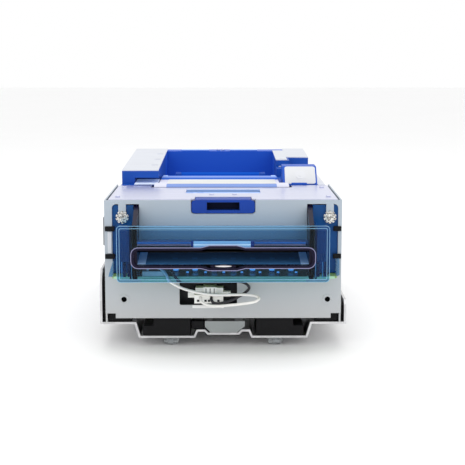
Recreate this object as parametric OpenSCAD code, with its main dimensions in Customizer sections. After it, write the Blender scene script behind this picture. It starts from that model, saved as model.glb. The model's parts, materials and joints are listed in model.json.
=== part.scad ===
// Bill validator: a sheet-metal chassis with a translucent note bezel in front, belt-driven feed
// rollers under a straight note path, and an upper unit that swings up about a rear hinge when its
// front latch is pulled. Lengths are in millimetres, +Z is up and the note slot faces -Y.
// The origin is on the standing surface, under the middle of the machine.

/* [Overall size] */
// Width of the front plate
plate_w = 221; // [219:0.5:223]
// Distance from the rear of the machine to its middle, half of the whole length
half_len = 194; // [192:0.5:196]
// Height of the rubber feet
foot_h = 9; // [8.5:0.5:10]
// Height of the top edge of the front plate
plate_top = 140.6; // [140.2:0.1:141]

/* [Sheet metal] */
// Thickness of the front plate and side plates
sheet_t = 1.5; // [1.2:0.1:1.6]
// Thickness of the base tray
tray_t = 2; // [1.6:0.1:2.2]

/* [Bezel] */
// Half width of the blue lens
lens_half_w = 96.8; // [96:0.1:98]
// Lowest point of the lens
lens_z0 = 69; // [68:0.5:70]
// Highest point of the lens
lens_z1 = 121; // [120:0.5:121]
// Half width of the note slot
slot_half_w = 81; // [80.6:0.1:81.4]

/* [Note transport] */
// Radius of a driven feed roller
drive_r = 10; // [9.8:0.1:10]
// Radius of a pinch roller
pinch_r = 8; // [7.8:0.1:8]
// Width of one driven roller
drive_w = 14; // [12:0.5:15]
// Width of one pinch roller
pinch_w = 10; // [8:0.5:11]

/* [Fits] */
// Radial running clearance of a shaft in its bore
running = 0.05; // [0.03:0.01:0.08]
// Radius of the two fixing holes in the front plate
fix_hole_r = 2.6; // [2.2:0.1:2.8]
// Radius of the four fixing holes in the base tray
tray_hole_r = 2.2; // [2:0.05:2.5]

/* [Hidden] */
$fn = 48;
eps = 0.01;
half_w = plate_w / 2;
plate_y = -half_len + 32;
plate_back = plate_y + sheet_t;
lens_y0 = -half_len + 0.6;
lens_y1 = lens_y0 + 3;
side_in = half_w - sheet_t;
tray_half = 116;
shelf_z = foot_h + 13.4;
shelf_top = shelf_z + tray_t;
cover_z0 = 139.8;
cover_z1 = 141.2;
path_low = 90.2;
path_high = 92.2;
guide_t = 1.5;
guide_half = 90;
guide_y0 = plate_y + 14;
guide_y1 = 160;
drive_z = path_low + 0.7 - drive_r;
pinch_z = path_low + 1.1 + pinch_r;
shaft_y = [-117, -12, 93];
roller_x = [-58, -22, 22, 58];
drive_shaft_r = 3;
pinch_pin_r = 2;
pulley_r = 9;
motor_pulley_r = 6;
pulley_x0 = 97;
pulley_x1 = 102;
belt_gap = 0.3;
belt_t = 1.2;
belt_low = drive_z - pulley_r - belt_gap;
motor_y = 40;
motor_z = belt_low + belt_gap + motor_pulley_r;
hinge_y = 183;
hinge_z = 93;
hinge_r = 3;
latch_y = -132;
latch_z = 134;
latch_pin_r = 1.5;
lid_pin_y = 47;
lid_pin_z = 143.8;
lid_pin_r = 1.2;
rim_w = 2.4;
wing_x = slot_half_w + rim_w;
rib_x0 = 78.4;
rib_x1 = 82.6;
tray_screw_x = 103;
tray_screw_y = [-130, 10, 150];
cover_screw_x = 99.6;
cover_screw_y = [-140, -60, 20, 140];
cover_screw_r = 1.6;
rear_screw_x = [-6, 0];
rear_screw_y = 184;
board_z = 40;
board_top = board_z + 1.6;
screw_left_x = -93.8;
screw_right_x = 99.3;
screw_z = 124.8;
fix_left_x = -93;
fix_right_x = 97.8;
fix_z = 47;
tower_front = -24;
tower_back = half_len;
tower_z0 = 154.7;
tower_rise = 0.0244;
block_l = [-105, -67];
block_r = [71.6, 97];
wall_r = 59;
well_y0 = 51;
well_y1 = 173;
well_z = 127;
wall_r_front = 72;
wall_t = 2.4;
wire_d = 2.6;
wire_sides = 8;
wire_steps = 4;
white_route = [
    [-70, -174, 75.6], [-69.8, -174.6, 78], [-66.6, -176.4, 80.2], [-61, -179, 80.4],
    [-55.4, -181.4, 78], [-52.2, -182, 73.6], [-49.6, -180.6, 68], [-39.6, -175.2, 60.8],
    [-25, -171.6, 55.6], [-9, -171, 53], [7, -172.6, 53.4],
    [20, -175.4, 54], [29, -178, 53.6], [33, -182.4, 52], [29, -187, 49.8], [20, -187.6, 48.2],
    [8, -183.6, 46], [-4, -178.6, 44], [-14, -175.4, 44], [-20, -173.4, 46.8], [-21, -170.6, 49.4],
    [-21, -168.6, 50]
];
black_route = [
    [-58, -174, 75.6], [-57.4, -174.8, 78], [-53.2, -177.4, 80], [-48, -180, 78],
    [-44.8, -180.8, 72.6], [-40.4, -178.2, 67.2],
    [-33, -173, 65.4], [-20, -171.4, 64.8], [-3, -171.4, 65.2], [10, -172, 66], [19, -173, 65],
    [24, -173.6, 60.6], [21, -172.6, 56], [14, -171, 51], [6, -170.8, 47.2], [-3, -171.2, 45],
    [-9, -172.2, 45.8], [-11, -171, 48.6], [-11, -168.6, 50]
];

// ---- Shared shapes ----

// A block between two opposite corners
module block(low, high) {
    translate(low) cube(high - low);
}

// An X-Z outline carried from y0 to y1
module along_y(y0, y1) {
    translate([0, y1, 0]) rotate([90, 0, 0]) linear_extrude(y1 - y0) children();
}

// A Y-Z outline carried from x0 to x1
module along_x(x0, x1) {
    translate([x0, 0, 0]) rotate([90, 0, 90]) linear_extrude(x1 - x0) children();
}

// A round bar along X through the point (y, z)
module rod_x(x0, x1, y, z, r) {
    translate([x0, y, z]) rotate([0, 90, 0]) cylinder(r = r, h = x1 - x0);
}

// A round bar along Y through the point (x, z)
module rod_y(y0, y1, x, z, r) {
    translate([x, y1, z]) rotate([90, 0, 0]) cylinder(r = r, h = y1 - y0);
}

// A round bar along Z through the point (x, y)
module rod_z(z0, z1, x, y, r) {
    translate([x, y, z0]) cylinder(r = r, h = z1 - z0);
}

// A flat rectangle with round corners
module round_rect(x0, y0, x1, y1, r) {
    translate([x0 + r, y0]) square([x1 - x0 - 2 * r, y1 - y0]);
    translate([x0, y0 + r]) square([x1 - x0, y1 - y0 - 2 * r]);
    for (x = [x0 + r, x1 - r], y = [y0 + r, y1 - r]) {
        translate([x, y]) circle(r);
    }
}

// A copy on each side of the machine's middle
module both_sides() {
    children();
    mirror([1, 0, 0]) children();
}

// Height of the tower's top at a place along its length
function tower_top(y) = tower_z0 + (y - tower_front) * tower_rise;

// ---- Sweep of a wire along its route ----

function unit(v) = v / norm(v);

// A point between b and c on the smooth curve through a, b, c and d
function curve_point(a, b, c, d, t) =
    0.5 * (2 * b + (c - a) * t + (2 * a - 5 * b + 4 * c - d) * t * t
    + (3 * b - a - 3 * c + d) * t * t * t);

function smooth_route(p) = [
    for (i = [0 : len(p) - 2], k = [0 : wire_steps - 1])
        curve_point(p[max(i - 1, 0)], p[i], p[i + 1], p[min(i + 2, len(p) - 1)], k / wire_steps),
    p[len(p) - 1]
];

function tangents(q) = [
    for (i = [0 : len(q) - 1]) unit(q[min(i + 1, len(q) - 1)] - q[max(i - 1, 0)])
];

// Side directions that turn as little as possible along the route
function side_dirs(t, n, i = 0) =
    i == len(t) ? [] : let (m = unit(n - (n * t[i]) * t[i])) concat([m], side_dirs(t, m, i + 1));

module wire(route) {
    q = smooth_route(route);
    t = tangents(q);
    n = side_dirs(t, [1, 0.2, 0]);
    last = len(q) - 1;
    points = [
        for (i = [0 : last], k = [0 : wire_sides - 1])
            q[i] + wire_d / 2 * (cos(360 * k / wire_sides) * n[i]
            + sin(360 * k / wire_sides) * cross(t[i], n[i]))
    ];
    sides = [
        for (i = [0 : last - 1], k = [0 : wire_sides - 1])
            let (a = i * wire_sides + k, b = i * wire_sides + (k + 1) % wire_sides)
            each [[a, a + wire_sides, b], [b, a + wire_sides, b + wire_sides]]
    ];
    ends = [
        [for (k = [0 : wire_sides - 1]) k],
        [for (k = [wire_sides - 1 : -1 : 0]) last * wire_sides + k]
    ];
    polyhedron(points = points, faces = concat(sides, ends), convexity = 6);
}

// ---- Base ----

// One half of the tray's section: a low skid channel, a crest and a high shelf
module tray_half_section() {
    polygon([
        [0, foot_h + 3], [15, foot_h + 3], [17.8, foot_h + 6], [24, foot_h + 6], [26.6, foot_h],
        [79.8, foot_h], [83.8, shelf_z], [tray_half, shelf_z], [tray_half, shelf_top],
        [82.2, shelf_top], [78.2, foot_h + tray_t], [27.8, foot_h + tray_t],
        [25.2, foot_h + 6 + tray_t], [17, foot_h + 6 + tray_t], [14.2, foot_h + 3 + tray_t],
        [0, foot_h + 3 + tray_t]
    ]);
}

module base_tray() {
    y0 = plate_y + 4;
    y1 = half_len - 4;
    color("lightgray") difference() {
        union() {
            both_sides() along_y(y0, y1) tray_half_section();
            along_x(-tray_half, -tray_half + tray_t)
                polygon([[y0, shelf_z], [y1, shelf_z], [y1, 45], [y0 + 78, 45], [y0 + 48, 74],
                         [y0 + 8, 74], [y0, 62]]);
            along_x(tray_half - tray_t, tray_half)
                polygon([[y0, shelf_z], [y1, shelf_z], [y1, 45], [y0 + 4, 45], [y0, 41]]);
        }
        for (x = [-89, 89], y = [-120, 150]) {
            rod_z(shelf_z - 1, shelf_top + 1, x, y, tray_hole_r);
        }
        for (x = [-tray_screw_x, tray_screw_x], y = tray_screw_y) {
            rod_z(shelf_z - 1, shelf_top + 1, x, y, 1.5);
        }
    }
}

module tray_screws() {
    color("silver") for (x = [-tray_screw_x, tray_screw_x], y = tray_screw_y) {
        rod_z(shelf_z, shelf_top + sheet_t, x, y, 1.5);
        rod_z(shelf_top + sheet_t, shelf_top + sheet_t + 1.8, x, y, 3);
    }
}

module rubber_feet() {
    color("white") for (x = [-50, 50], y = [-142, 165]) {
        translate([x, y, 0]) rotate_extrude()
            polygon([[0, 0], [6, 0], [7, 1], [7.6, foot_h - 2], [7.6, foot_h], [0, foot_h]]);
    }
}

module skid_blocks() {
    color("#222226") {
        both_sides() along_y(plate_y + 4, plate_y + 44)
            polygon([[31, foot_h + tray_t], [31, 28.6], [66, 28.6], [66, 21], [76, 21],
                     [76, foot_h + tray_t]]);
        block([-30, plate_y + 6, foot_h + 6.2 + tray_t], [-18, plate_y + 30, 25]);
        both_sides() along_y(plate_y + 6, plate_y + 15)
            polygon([[86, shelf_top], [86, 28.8], [99.5, 28.8], [99.5, 34.6], [108.6, 34.6],
                     [108.6, shelf_top]]);
        block([-tray_half + tray_t + 0.2, plate_y + 8, shelf_top], [-half_w - 0.2, plate_y + 50, 68]);
        block([half_w + 0.2, plate_y + 8, shelf_top], [tray_half - tray_t - 0.2, plate_y + 50, 40]);
    }
}

// Outline of the tongue's front, less a margin
module tongue_outline(margin) {
    z0 = foot_h + 3 + tray_t;
    polygon([
        [-17.4 + margin, 25.6 + margin], [20.4 - margin, 25.6 + margin], [20.4 - margin, 20.4 + margin],
        [13 - margin, z0 + 0.4 + margin], [-12 + margin, z0 + 0.4 + margin], [-17.4 + margin, 20 + margin]
    ]);
}

module centre_tongue() {
    color("silver") difference() {
        along_y(plate_y + 2, plate_y + 60) tongue_outline(0);
        along_y(plate_y + 3.6, plate_y + 61) tongue_outline(1.6);
    }
}

// One side plate with its foot flange and the holes of the shafts and the hinge
module side_plate() {
    difference() {
        union() {
            along_x(side_in, half_w) polygon([
                [plate_back, shelf_top], [half_len - 6, shelf_top], [half_len - 6, 108],
                [half_len - 18, 120], [-10, 120], [-26, cover_z1 - 0.4], [plate_back, cover_z1 - 0.4]
            ]);
            block([96.5, plate_back + 20, shelf_top], [side_in + eps, half_len - 12, shelf_top + sheet_t]);
        }
        for (y = shaft_y) {
            rod_x(side_in - 1, half_w + 1, y, drive_z, 5);
        }
        rod_x(side_in - 1, half_w + 1, hinge_y, hinge_z, hinge_r);
        for (y = tray_screw_y) {
            rod_z(shelf_top - 1, shelf_top + sheet_t + 1, tray_screw_x, y, 1.5);
        }
        for (y = [-60, 40, 130]) {
            along_x(side_in - 1, half_w + 1) round_rect(y - 18, 36, y + 18, 58, 5);
        }
    }
}

module side_plate_left() {
    color("lightsteelblue") mirror([1, 0, 0]) side_plate();
}

module side_plate_right() {
    color("lightsteelblue") side_plate();
}

// ---- Front plate and bezel ----

// Screw tab that hangs into the window from the top edge
module tab_outline(x) {
    translate([x - 3.5, screw_z]) square([7, 14]);
    translate([x, screw_z]) circle(3.5);
}

module front_plate_outline() {
    difference() {
        translate([-half_w, 29]) square([plate_w, plate_top - 29]);
        for (x = [-half_w - 1, half_w - 9.5]) {
            translate([x, 28]) square([10.5, 5.6]);
        }
        round_rect(-29.9, 128, 29.9, 160, 3);
        round_rect(-41, 41.5, 13, 63.4, 1.5);
        difference() {
            round_rect(-103.3, 67, 107, 137, 4);
            translate([-78, 102]) square([156, 40]);
            tab_outline(screw_left_x);
            tab_outline(screw_right_x);
        }
    }
}

module front_plate() {
    color("#b4bec6") difference() {
        union() {
            along_y(plate_y, plate_back) front_plate_outline();
            for (x = [fix_left_x, fix_right_x]) {
                rod_y(plate_y - 0.6, plate_y + 0.5, x, fix_z, 4.6);
            }
            both_sides() block([side_in - 1.7, plate_back - 0.5, 36], [side_in - 0.2, plate_y + 16, 90]);
        }
        for (x = [fix_left_x, fix_right_x]) {
            rod_y(plate_y - 2, plate_back + 1, x, fix_z, fix_hole_r);
        }
        rod_y(plate_y - 2, plate_back + 1, screw_left_x, screw_z, 2.1);
        rod_y(plate_y - 2, plate_back + 1, screw_right_x, screw_z, 2.1);
    }
}

// Straight slot outline with a slight swelling at the middle for a finger
module slot_outline(half, z0, z1, r, swell) {
    round_rect(-half, z0, half, z1, r);
    polygon([[-20, z0 + 3], [-20, z0], [-12.5, z0 - swell], [12.5, z0 - swell], [20, z0],
             [20, z0 + 3]]);
    polygon([[-20, z1 - 3], [-20, z1], [-12.5, z1 + swell], [12.5, z1 + swell], [20, z1],
             [20, z1 - 3]]);
}

module bezel_window() {
    color("royalblue", 0.6) difference() {
        union() {
            along_y(lens_y0, lens_y1) round_rect(-lens_half_w, lens_z0, lens_half_w, lens_z1, 3.5);
            both_sides() {
                block([wing_x, lens_y1 - 0.5, 71.6], [wing_x + 1.8, plate_back + 1.6, lens_z1 - 0.2]);
                block([wing_x, plate_back + 0.2, 72], [107.1, plate_back + 1.8, 136]);
            }
            block([-rib_x0, lens_y1 - 0.5, 102.6], [rib_x0, plate_y - 1, 104]);
        }
        along_y(lens_y0 - 1, lens_y1 + 1) slot_outline(slot_half_w + rim_w, 82.3, 100.5, 6, 2);
        for (x = [screw_left_x, screw_right_x]) {
            rod_y(plate_back - 1, plate_back + 3, x, screw_z, 1.9);
        }
    }
}

module bezel_body() {
    color("#1b1638") {
        along_y(-half_len, lens_y1 + 4) difference() {
            slot_outline(slot_half_w + rim_w, 82.3, 100.5, 6, 2);
            slot_outline(slot_half_w, 84.4, 98.6, 4.5, 2);
        }
        both_sides() along_x(rib_x0, rib_x1) polygon([
            [lens_y1, 71.4], [lens_y1, lens_z1], [plate_back + 1.8, 136.5], [plate_back + 1.8, 71.4]
        ]);
    }
}

module note_funnel() {
    y0 = lens_y1 + 4;
    y1 = guide_y0 - 0.5;
    color("#20202c") along_x(-rib_x0, rib_x0) {
        polygon([[y0, 98.6], [y0, 100.4], [y1, 95.2], [y1, 93.4]]);
        polygon([[y0, 84.4], [y0, 82.6], [y1, 87.4], [y1, 89.2]]);
    }
}

module bezel_clips() {
    color("#0b0b0d") for (z = [88, 114]) {
        block([-110, plate_y - 1.6, z - 2.3], [-101, plate_y, z + 2.3]);
        block([-103, plate_y - eps, z - 2.3], [-101, plate_back + 0.2, z + 2.3]);
        block([102.4, plate_y - 1.6, z - 2.3], [110, plate_y, z + 2.3]);
        block([103.6, plate_y - eps, z - 2.3], [105.6, plate_back + 0.2, z + 2.3]);
    }
}

module side_strip() {
    color("white") block([-107.5, plate_y - 0.8, 91], [-104, plate_y, 111]);
}

module corner_screws() {
    color("silver") for (x = [screw_left_x, screw_right_x]) {
        difference() {
            union() {
                rod_y(plate_y - 3.4, plate_y - 1, x, screw_z, 3.3);
                rod_y(plate_y - 1, plate_back + 5, x, screw_z, 1.9);
            }
            block([x - 2.2, plate_y - 4, screw_z - 0.4], [x + 2.2, plate_y - 2.2, screw_z + 0.4]);
            block([x - 0.4, plate_y - 4, screw_z - 2.2], [x + 0.4, plate_y - 2.2, screw_z + 2.2]);
        }
    }
}

module star_washers() {
    color("silver") for (x = [screw_left_x, screw_right_x]) {
        along_y(plate_y - 1, plate_y) translate([x, screw_z]) difference() {
            circle(6);
            circle(2);
            for (a = [0 : 36 : 324]) {
                rotate(a) translate([4.8, -0.7]) square([2, 1.4]);
            }
        }
    }
}

module side_pad() {
    color("gray") block([-half_w - 2.4, plate_y + 12, 96.5], [-half_w, plate_y + 30, 122.8]);
}

// ---- Light board and harness ----

module led_board() {
    color("yellowgreen") {
        block([-102.4, -177, 69.8], [105, -129, 71.4]);
    }
}

module board_leds() {
    color("dodgerblue") {
        for (i = [0 : 6]) {
            rod_z(71.4, 74.2, -44.6 + 18.05 * i, -155, 2.6);
        }
        for (i = [0 : 6]) {
            rod_z(71.4, 73.6, -33.4 + 16.9 * i, -165.6, 1.3);
        }
    }
}

module board_socket() {
    color("ivory") difference() {
        block([-75, -176.6, 71.4], [-54, -170.6, 76]);
        for (x = [-70, -58]) {
            rod_z(75.6, 77, x, -174, wire_d / 2 + 0.2);
        }
    }
}

module harness_plug() {
    front = plate_y - 7;
    color("#d8d8c4") {
        difference() {
            block([-27, front, 44.5], [0, plate_back + 8, 52.6]);
            for (x = [-21, -11]) {
                rod_y(front - 1, front + 0.4, x, 50, wire_d / 2 + 0.2);
            }
        }
        block([-18.6, front + 0.4, 52.6 - eps], [-6.4, plate_back + 8, 59.6]);
        block([-26, front + 3, 52.6 - eps], [0, plate_back + 7, 58.6]);
        block([-33, plate_y - 2, 49], [-27 + eps, plate_back + 2, 54]);
        block([-eps, plate_y - 2, 50], [7, plate_back + 2, 54.6]);
    }
}

module white_wire() {
    color("white") wire(white_route);
}

module black_wire() {
    color("#2a2a33") wire(black_route);
}

// ---- Note path, chassis side ----

// Guide plate with a slot at each roller and a tab to the side wall at each end
module guide_sheet(z0, z1, side_x, slot_half_len, slot_half) {
    difference() {
        union() {
            block([-guide_half, guide_y0, z0], [guide_half, guide_y1, z1]);
            for (y = [-146, 120]) {
                block([-side_x, y, z0], [side_x, y + 12, z1]);
            }
        }
        for (x = roller_x, y = shaft_y) {
            block([x - slot_half, y - slot_half_len, z0 - 1], [x + slot_half, y + slot_half_len, z1 + 1]);
        }
    }
}

module lower_guide() {
    color("#2c2c34") {
        guide_sheet(path_low - guide_t, path_low, side_in, 8, drive_w / 2 + 1);
        both_sides() block([guide_half - 1.5, guide_y0, 85], [guide_half, guide_y1, path_low - 1]);
        difference() {
            block([-side_in, guide_y0 + 3, 30], [side_in, guide_y0 + 4.5, path_low - guide_t + eps]);
            block([-103.2, guide_y0 + 2, 69.3], [105.8, guide_y0 + 6, 72]);
            both_sides() block([106.8, guide_y0 + 2, 29], [side_in + 1, guide_y0 + 6, 64]);
        }
    }
}

module shaft_bearings() {
    color("goldenrod") both_sides() for (y = shaft_y) {
        difference() {
            union() {
                rod_x(side_in - 1.2, side_in, y, drive_z, 7);
                rod_x(side_in - eps, half_w, y, drive_z, 5);
            }
            rod_x(side_in - 2, half_w + 1, y, drive_z, drive_shaft_r + running);
        }
    }
}

module timing_belt() {
    r = pulley_r + belt_gap;
    color("#1c1c20") along_x(pulley_x0 + 0.6, pulley_x1 - 0.6) difference() {
        union() {
            for (y = [shaft_y[0], shaft_y[2]]) {
                translate([y, drive_z]) circle(r + belt_t);
            }
            translate([shaft_y[0], drive_z - r - belt_t])
                square([shaft_y[2] - shaft_y[0], 2 * (r + belt_t)]);
        }
        for (y = [shaft_y[0], shaft_y[2]]) {
            translate([y, drive_z]) circle(r);
        }
        translate([shaft_y[0], drive_z - r]) square([shaft_y[2] - shaft_y[0], 2 * r]);
    }
}

module drive_motor() {
    color("dimgray") difference() {
        union() {
            block([84, motor_y - 11, shelf_top], [94, motor_y + 11, motor_z + 7]);
            rod_x(46, 84 + eps, motor_y, 57, 13);
            rod_x(43, 46 + eps, motor_y, 57, 5);
        }
        rod_x(83, 95, motor_y, motor_z, 2 + running);
    }
}

module sensor_bar() {
    color("darkgreen") {
        block([-80, -84, 80], [80, -70, path_low - guide_t]);
    }
}

module control_board() {
    color("seagreen") {
        block([-76, -90, board_z], [40, 150, board_top]);
        for (x = [-70, 34], y = [-84, 144]) {
            rod_z(foot_h + tray_t, board_z + eps, x, y, 3);
        }
        for (y = [-70, -20, 30]) {
            block([-60, y, board_top - eps], [-30, y + 30, 45]);
        }
        block([-10, -60, board_top - eps], [20, -30, 44]);
        for (y = [0, 16, 32]) {
            rod_z(board_top - eps, 56, 10, y, 5);
        }
        block([-70, 128, board_top - eps], [30, 138, 50]);
    }
}

module rear_panel() {
    color("silver") difference() {
        along_y(half_len - 6, half_len - 4.5) difference() {
            translate([-side_in, shelf_top]) square([2 * side_in, 80 - shelf_top]);
            translate([-34, 50]) square([68, 16]);
            for (x = [-80 : 12 : -56]) {
                round_rect(x, 36, x + 5, 70, 2.4);
            }
        }
        for (x = [-39, 39]) {
            rod_y(half_len - 7, half_len - 4, x, 58, 1.6);
        }
    }
}

module docking_connector() {
    color("#18181c") difference() {
        union() {
            block([-34, half_len - 20, 50], [34, half_len, 66]);
            block([-44, half_len - 8, 50], [44, half_len - 6, 66]);
        }
        block([-31, half_len - 10, 53], [31, half_len + 1, 63]);
        for (x = [-39, 39]) {
            rod_y(half_len - 9, half_len - 5, x, 58, 1.6);
        }
    }
}

module latch_catch() {
    color("silver") {
        rod_x(-26, 26, plate_y + 4.8, 118, 1.5);
        for (x = [-28, 26 - eps]) {
            along_x(x, x + 2) round_rect(plate_back, 114.5, plate_y + 7.6, 121.5, 1.4);
        }
    }
}

module hinge_pins() {
    color("silver") both_sides() {
        rod_x(104.4, half_w, hinge_y, hinge_z, hinge_r);
        rod_x(half_w, half_w + 1.6, hinge_y, hinge_z, 5);
    }
}

// ---- Feed rollers and their drive ----

module drive_shaft(y, x0) {
    color("silver") rod_x(x0, half_w + 0.8, y, drive_z, drive_shaft_r);
}

module roller_set(y, z, r, w, bore_r) {
    for (x = roller_x) {
        difference() {
            rod_x(x - w / 2, x + w / 2, y, z, r);
            rod_x(x - w, x + w, y, z, bore_r);
        }
    }
}

module pulley(y, z, r, bore_r) {
    difference() {
        union() {
            rod_x(pulley_x0, pulley_x1, y, z, r);
            rod_x(pulley_x0 - 1, pulley_x0 + eps, y, z, r + 0.8);
        }
        rod_x(pulley_x0 - 2, pulley_x1 + 1, y, z, bore_r);
    }
}

module entry_shaft() {
    drive_shaft(shaft_y[0], -half_w - 0.8);
}

module mid_shaft() {
    drive_shaft(shaft_y[1], -tray_half);
}

module exit_shaft() {
    drive_shaft(shaft_y[2], -half_w - 0.8);
}

module entry_rollers() {
    color("#33333a") roller_set(shaft_y[0], drive_z, drive_r, drive_w, drive_shaft_r);
}

module mid_rollers() {
    color("#33333a") roller_set(shaft_y[1], drive_z, drive_r, drive_w, drive_shaft_r);
}

module exit_rollers() {
    color("#33333a") roller_set(shaft_y[2], drive_z, drive_r, drive_w, drive_shaft_r);
}

module entry_pulley() {
    color("ivory") pulley(shaft_y[0], drive_z, pulley_r, drive_shaft_r);
}

module mid_pulley() {
    color("ivory") pulley(shaft_y[1], drive_z, pulley_r, drive_shaft_r);
}

module exit_pulley() {
    color("ivory") pulley(shaft_y[2], drive_z, pulley_r, drive_shaft_r);
}

module thumb_wheel() {
    color("royalblue") difference() {
        rod_x(-tray_half, -half_w - 0.8, shaft_y[1], drive_z, 12);
        rod_x(-tray_half - 1, -half_w, shaft_y[1], drive_z, drive_shaft_r);
        for (a = [0 : 15 : 345]) {
            translate([0, shaft_y[1], drive_z]) rotate([a, 0, 0])
                rod_x(-tray_half - 1, -half_w, 12.2, 0, 0.8);
        }
    }
}

module motor_pulley() {
    color("silver") {
        rod_x(pulley_x0, pulley_x1, motor_y, motor_z, motor_pulley_r);
        rod_x(80, pulley_x1, motor_y, motor_z, 2);
    }
}

// ---- Upper unit ----

module top_cover() {
    y0 = plate_back + 0.5;
    color("#d9dcf0") {
        difference() {
            block([-106.8, y0, cover_z0], [106.8, -38, cover_z1]);
            block([-30.4, y0 - 1, 138], [30.4, y0 + 4, 143]);
            block([-26.6, y0, 138], [26.6, plate_y + 22.2, 143]);
            block([-36.4, plate_y + 53, 138], [36.4, plate_y + 75, 143]);
            block([-73, -58, 138], [70, -30, 143]);
            for (x = [-11, 11]) {
                rod_z(138, 143, x, plate_y + 40, 1.6);
            }
            for (x = [-cover_screw_x, cover_screw_x], y = cover_screw_y) {
                rod_z(138, 143, x, y, cover_screw_r);
            }
        }
        block([-36.4, plate_y + 60, cover_z0 - 4], [36.4, plate_y + 61.4, cover_z0 + eps]);
    }
}

// One side of the frame that carries the pinch pins and the hinge lug
module frame_side() {
    difference() {
        union() {
            along_x(105, 106.5) {
                polygon([[-156, 94], [178, 94], [178, 138.4], [-156, 138.4]]);
                translate([hinge_y, hinge_z]) circle(7);
                polygon([[170, 94], [hinge_y, hinge_z - 7], [hinge_y + 7, hinge_z], [178, 106]]);
            }
            block([94, -156, 138.4 - eps], [106.5, 172, cover_z0]);
        }
        rod_x(104, 108, hinge_y, hinge_z, hinge_r + running);
        for (y = shaft_y) {
            rod_x(104, 108, y, pinch_z, pinch_pin_r);
        }
        for (y = cover_screw_y) {
            rod_z(137, 141, cover_screw_x, y, cover_screw_r);
        }
    }
}

module upper_frame() {
    color("#a8aeb8") {
        both_sides() frame_side();
        block([-105 - eps, -126, 114], [105 + eps, -124.6, 138.4]);
        block([-105 - eps, 150, 104], [105 + eps, 151.4, 124]);
        for (x = [-31, 28.6]) {
            difference() {
                block([x, latch_y - 4, 128], [x + 2.4, -126 + eps, 138.4]);
                rod_x(x - 1, x + 4, latch_y, latch_z, latch_pin_r);
            }
        }
    }
}

// Outline of one tower wall, seen from the side, less a margin all round
module tower_side(y0, y1, margin) {
    polygon([
        [y0 + margin, cover_z0 - (margin > 0 ? 2 : 0)],
        [y0 + margin, tower_top(y0) - margin],
        [y1 - margin, tower_top(y1) - margin],
        [y1 - margin, cover_z0 - (margin > 0 ? 2 : 0)]
    ]);
}

// Hollow tower block open underneath
module tower_block(x0, x1, y0, y1) {
    difference() {
        along_x(x0, x1) tower_side(y0, y1, 0);
        along_x(x0 + wall_t, x1 - wall_t) tower_side(y0, y1, wall_t);
    }
}

module upper_housing() {
    color("#2350bc") {
        difference() {
            block([-105, -37.6, cover_z0], [105, half_len - 20, cover_z1]);
            block([-62, -34, 138], [56, 38, 143]);
            block([block_l[0] + wall_t, tower_front + wall_t, 138], [block_l[1] - wall_t, half_len, 143]);
            block([block_r[0] + wall_t, 100 + wall_t, 138], [block_r[1] - wall_t, half_len, 143]);
            block([block_l[1], well_y0, 138], [wall_r, well_y1 + eps, 143]);
            for (x = [-cover_screw_x, cover_screw_x], y = cover_screw_y) {
                rod_z(138, 143, x, y, cover_screw_r);
            }
        }
        difference() {
            block(
                [block_l[1] - wall_t, well_y0 - wall_t, well_z],
                [wall_r + wall_t, well_y1 + wall_t, cover_z1]
            );
            block([block_l[1], well_y0, well_z + wall_t], [wall_r, well_y1, cover_z1 + 1]);
        }
        difference() {
            tower_block(block_l[0], block_l[1], tower_front, tower_back);
            block([-92, tower_front - 1, cover_z1], [block_l[1] + 1, 14, 147.6]);
        }
        block([-92, 14, cover_z1 - eps], [block_l[1], 16, 149]);
        block([-94, tower_front + 1, cover_z1 - eps], [-92, 16, 149]);
        block([-94, tower_front, 147.6], [block_l[1], 16, 149]);
        tower_block(block_r[0], block_r[1], 100, tower_back);
        difference() {
            tower_block(block_l[1] - wall_t, block_r[0] + wall_t, well_y1, tower_back);
            for (x = rear_screw_x) {
                rod_z(150, 165, x, rear_screw_y, 1);
            }
        }
        tower_block(wall_r, block_r[0] + wall_t, wall_r_front, well_y1 + wall_t);
        block([wall_r, well_y0 - wall_t, cover_z1 - eps], [block_r[0], wall_r_front + eps, 150]);
        block([-104.8, 174, 100], [104.8, 174 + wall_t, cover_z0 + eps]);
        for (x = [-50, 8]) {
            block([x, 176, 158], [x + 33, 190, 160.4]);
        }
        for (x = [-52, 40]) {
            difference() {
                union() {
                    rod_x(x, x + 6, lid_pin_y, lid_pin_z, 2.4);
                    block([x, lid_pin_y - 2.4, cover_z1 - eps], [x + 6, lid_pin_y + 2.4, lid_pin_z]);
                }
                rod_x(x - 1, x + 7, lid_pin_y, lid_pin_z, lid_pin_r);
            }
        }
    }
}

module tower_plates() {
    color("#eceef6") {
        difference() {
            along_x(block_l[0], block_l[1]) polygon([
                [tower_front, tower_top(tower_front)], [tower_back, tower_top(tower_back)],
                [tower_back, tower_top(tower_back) + 1], [tower_front, tower_top(tower_front) + 1]
            ]);
            for (y = [20, 76, 132]) {
                block([-77, y, 150], [-70, y + 3, 164]);
            }
        }
        along_x(wall_r, block_r[0] + eps) polygon([
            [wall_r_front, tower_top(wall_r_front)], [well_y1, tower_top(well_y1)],
            [well_y1, tower_top(well_y1) + 1], [wall_r_front, tower_top(wall_r_front) + 1]
        ]);
        along_x(block_r[0], block_r[1]) polygon([
            [100, tower_top(100)], [tower_back, tower_top(tower_back)],
            [tower_back, tower_top(tower_back) + 1], [100, tower_top(100) + 1]
        ]);
        block([-91.6, tower_front - 5, cover_z1], [block_l[1] - 0.4, 13.6, cover_z1 + 1]);
    }
}

// Wedge outline, seen from the side, less a margin
module wedge_outline(margin) {
    polygon([
        [-32 + 1.6 * margin, cover_z1 - (margin > 0 ? 1 : 0)], [-12 + 0.6 * margin, 158.6 - margin],
        [11 - margin, 158.6 - margin], [11 - margin, cover_z1 - (margin > 0 ? 1 : 0)]
    ]);
}

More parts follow.
